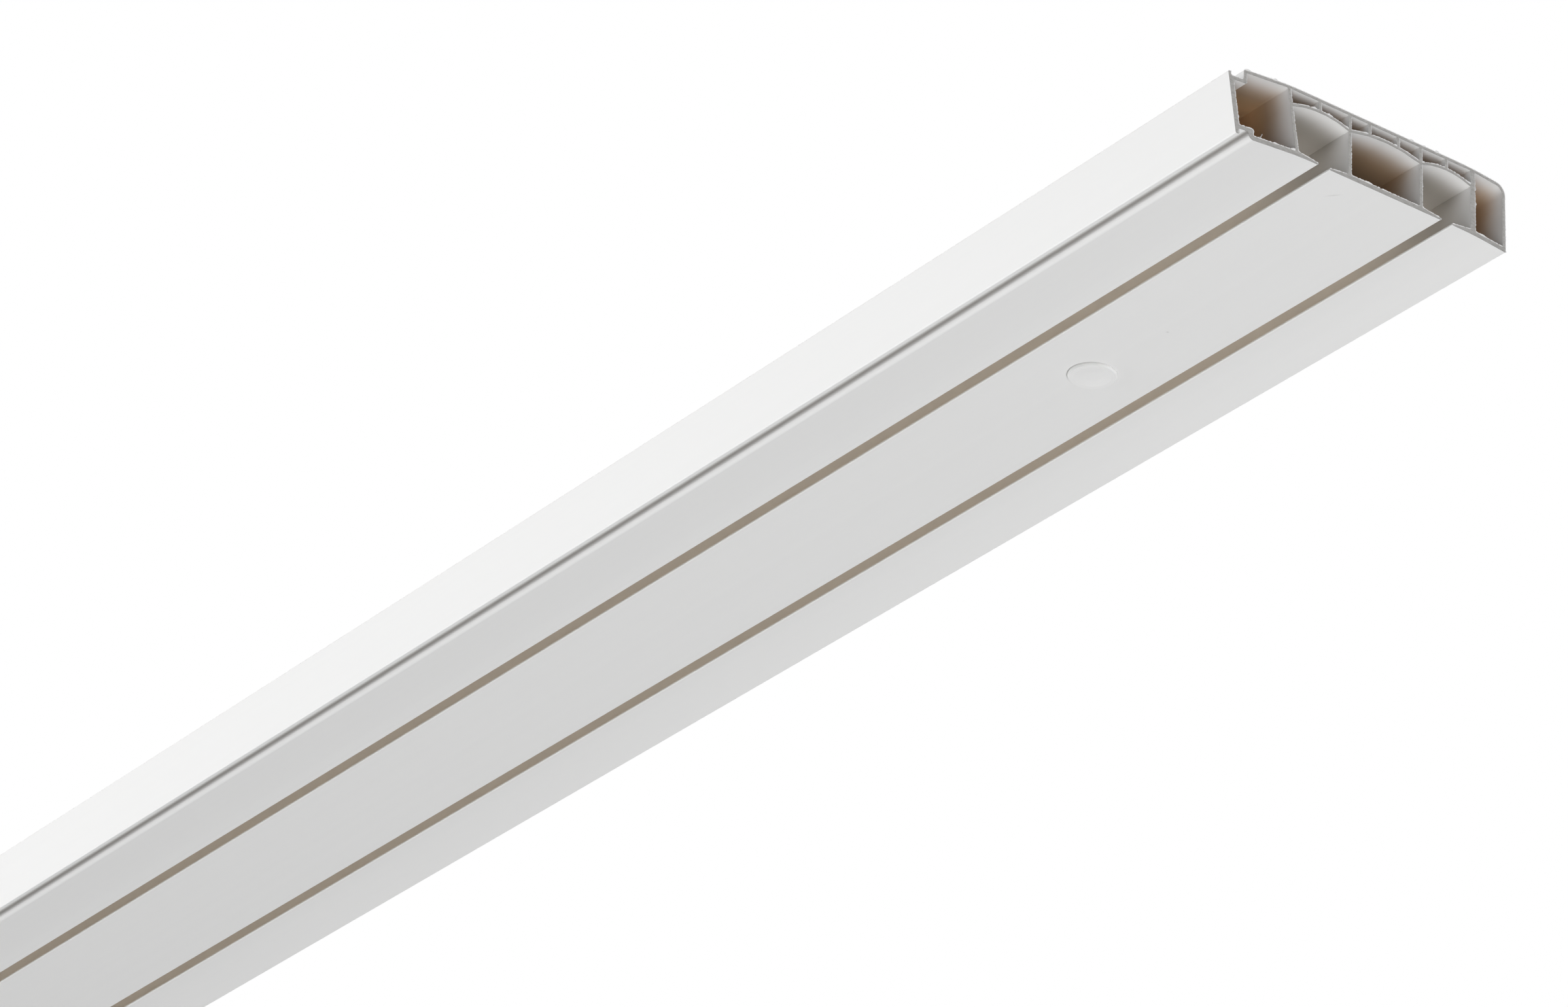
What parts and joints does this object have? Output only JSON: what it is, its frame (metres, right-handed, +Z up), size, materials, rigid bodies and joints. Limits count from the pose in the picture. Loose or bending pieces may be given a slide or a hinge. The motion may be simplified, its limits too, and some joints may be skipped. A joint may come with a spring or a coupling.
{
  "type": "curtain track",
  "caption": "Ceiling-mounted curtain track: a hollow white plastic extrusion with two slotted runner channels, clip grooves at its front wall and push-in caps over its screw holes.",
  "frame": {"origin": "on the flat ceiling face, on the line of the screw holes, half way along the track", "axes": "+X along the track to its near end, +Y from the front wall to the rear wall, +Z up to the ceiling"},
  "size_m": [1.25, 0.0824, 0.0189],
  "materials": {
    "white_pvc": "matt white, as extruded",
    "cap_plastic": "satin white, moulded"
  },
  "bodies": {
    "root": {"track_profile": "white_pvc", "screw_cap_1": "cap_plastic", "screw_cap_2": "cap_plastic", "screw_cap_3": "cap_plastic"}
  },
  "joints": []
}
